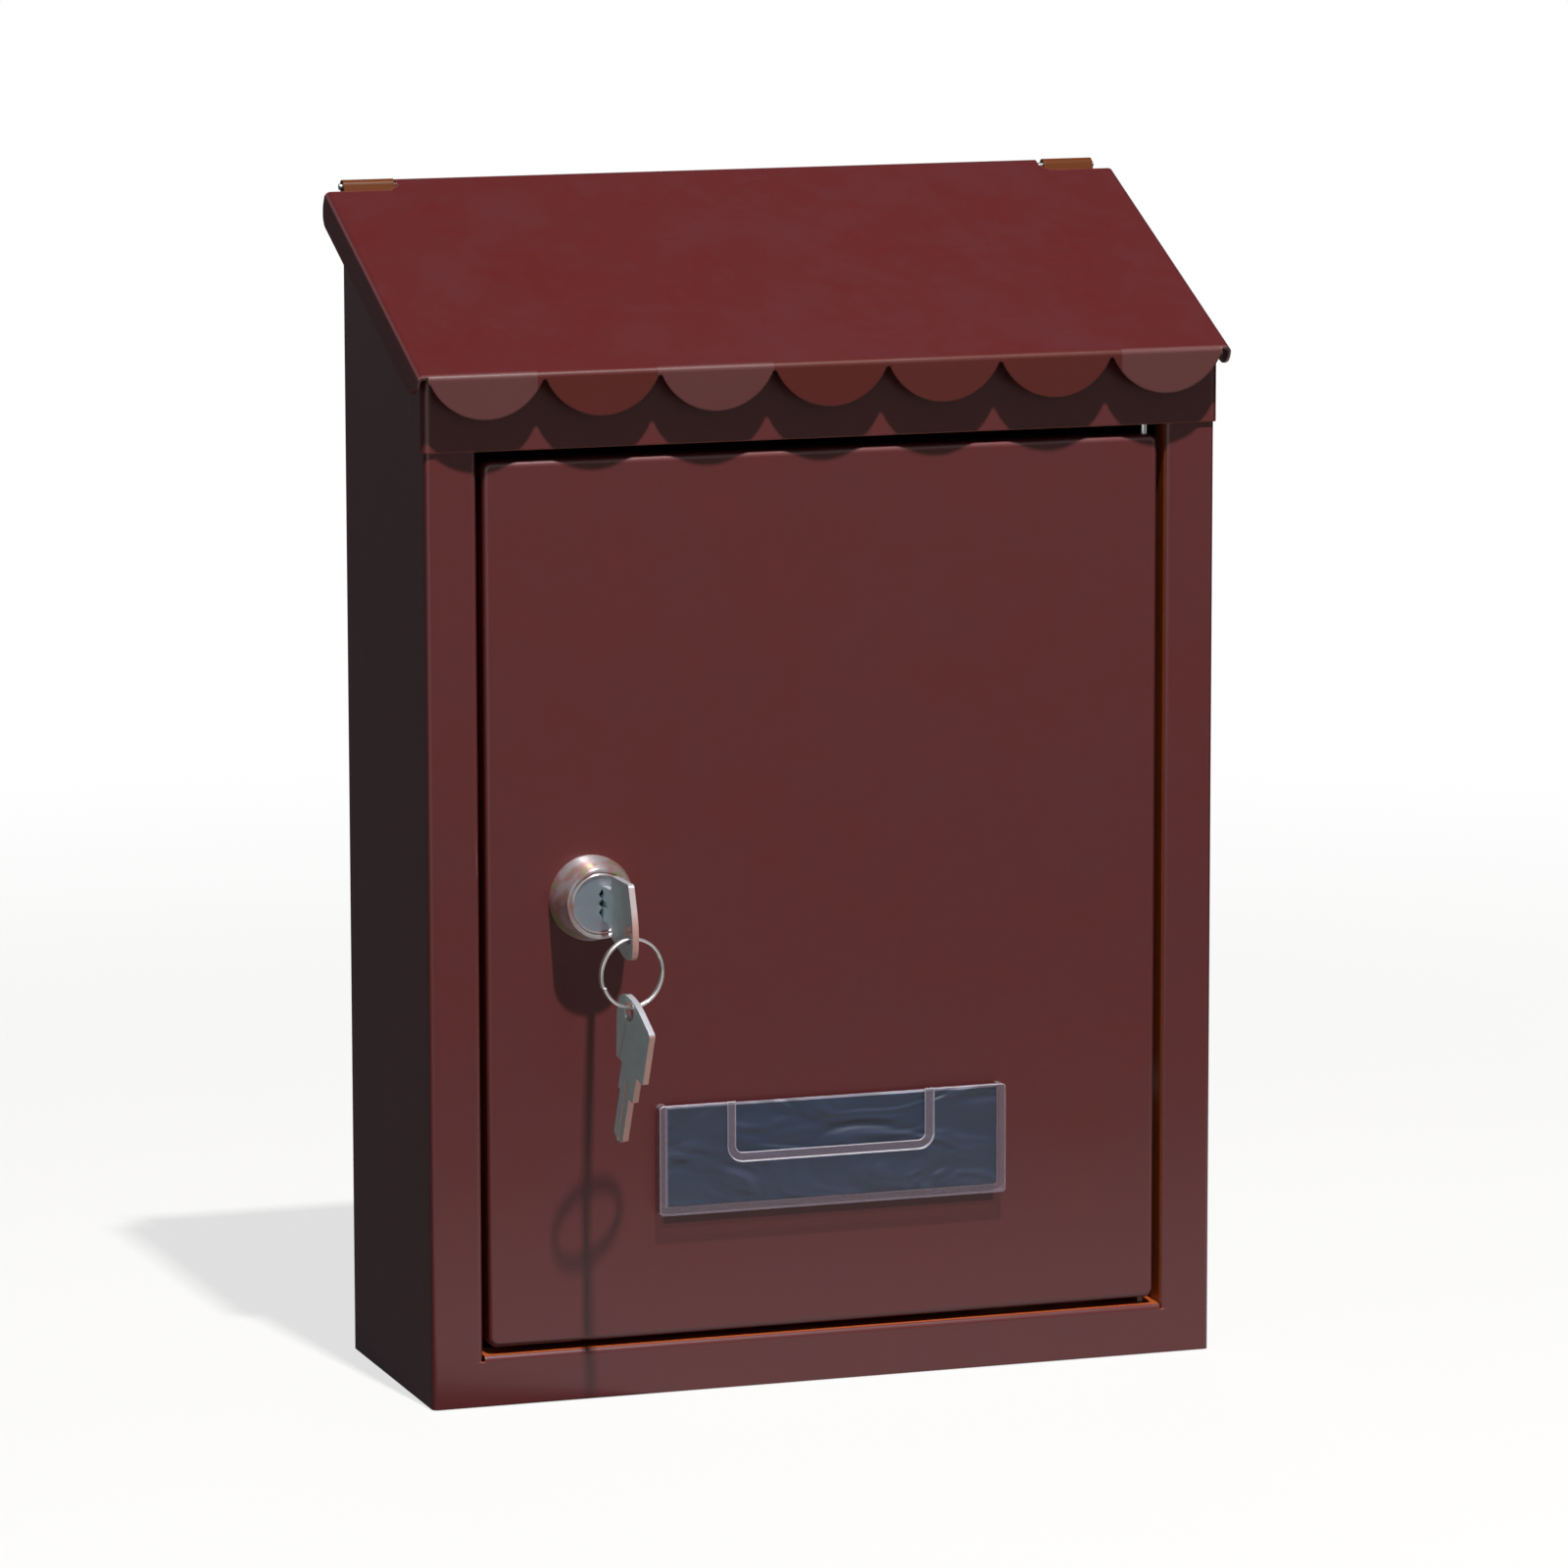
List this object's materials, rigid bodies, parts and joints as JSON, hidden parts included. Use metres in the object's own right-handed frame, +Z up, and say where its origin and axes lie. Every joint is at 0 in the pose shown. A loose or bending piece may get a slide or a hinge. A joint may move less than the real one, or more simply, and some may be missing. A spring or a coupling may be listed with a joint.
{
  "type": "wall mounted post box",
  "caption": "Sheet steel wall mounted post box with a hinged scalloped lid, a locking door, clear name holder, cam lock, two keys and a split ring.",
  "frame": {"origin": "centre of the four wall holes on the rear face of the back panel", "axes": "+X to the right seen from the front, +Y to the rear out of the wall face, +Z up"},
  "size_m": [0.2134, 0.1253, 0.2994],
  "materials": {
    "maroon_paint": "glossy maroon powder coat",
    "galvanised_wire": "galvanised",
    "zinc_pin": "bright zinc",
    "lock_chrome": "polished zinc casting with thin chrome",
    "plug_zinc": "satin chrome",
    "lock_steel": "zinc plated",
    "key_nickel": "nickel plated",
    "ring_steel": "nickel plated",
    "clear_plastic": "clear moulded",
    "slate_card": "matt dark slate card"
  },
  "bodies": {
    "case": {"body_shell": "maroon_paint", "back_panel": "maroon_paint", "bottom_panel": "maroon_paint", "front_header": "maroon_paint", "lid_hinge_wire": "galvanised_wire", "door_pin_top": "zinc_pin", "door_pin_bottom": "zinc_pin"},
    "lid": {"lid": "maroon_paint"},
    "door": {"door": "maroon_paint", "lock_body": "lock_chrome", "lock_nut": "lock_steel", "name_holder": "clear_plastic", "name_card": "slate_card"},
    "lock_rotor": {"lock_plug": "plug_zinc", "lock_stop_plate": "lock_steel", "lock_cam": "lock_steel", "lock_cam_washer": "lock_steel", "lock_cam_screw": "lock_steel"},
    "key": {"lock_key": "key_nickel"},
    "ring": {"key_ring": "ring_steel"},
    "spare": {"spare_key": "key_nickel"}
  },
  "joints": [
    {"name": "lid_open", "type": "hinge", "parent": "case", "child": "lid", "pos_m": [0, 0.00829, 0.15769], "axis": [-1, 0, 0], "range_deg": [0, 110]},
    {"name": "door_open", "type": "hinge", "parent": "case", "child": "door", "pos_m": [0.0857, -0.0704, -0.015], "axis": [0, 0, 1], "range_deg": [0, 100]},
    {"name": "lock_turn", "type": "hinge", "parent": "door", "child": "lock_rotor", "pos_m": [-0.0618, -0.0829, -0.0129], "axis": [0, -1, 0], "range_deg": [0, 90]},
    {"name": "key_pull", "type": "slide", "parent": "lock_rotor", "child": "key", "axis": [0, -1, 0], "range_m": [0, 0.025]},
    {"name": "ring_swing", "type": "hinge", "parent": "key", "child": "ring", "pos_m": [-0.0606, -0.1039, -0.0184], "axis": [1, 0, 0], "range_deg": [-60, 10]},
    {"name": "spare_swing", "type": "hinge", "parent": "ring", "child": "spare", "pos_m": [-0.0606, -0.1039, -0.03515], "axis": [1, 0, 0], "range_deg": [-60, 10]}
  ]
}
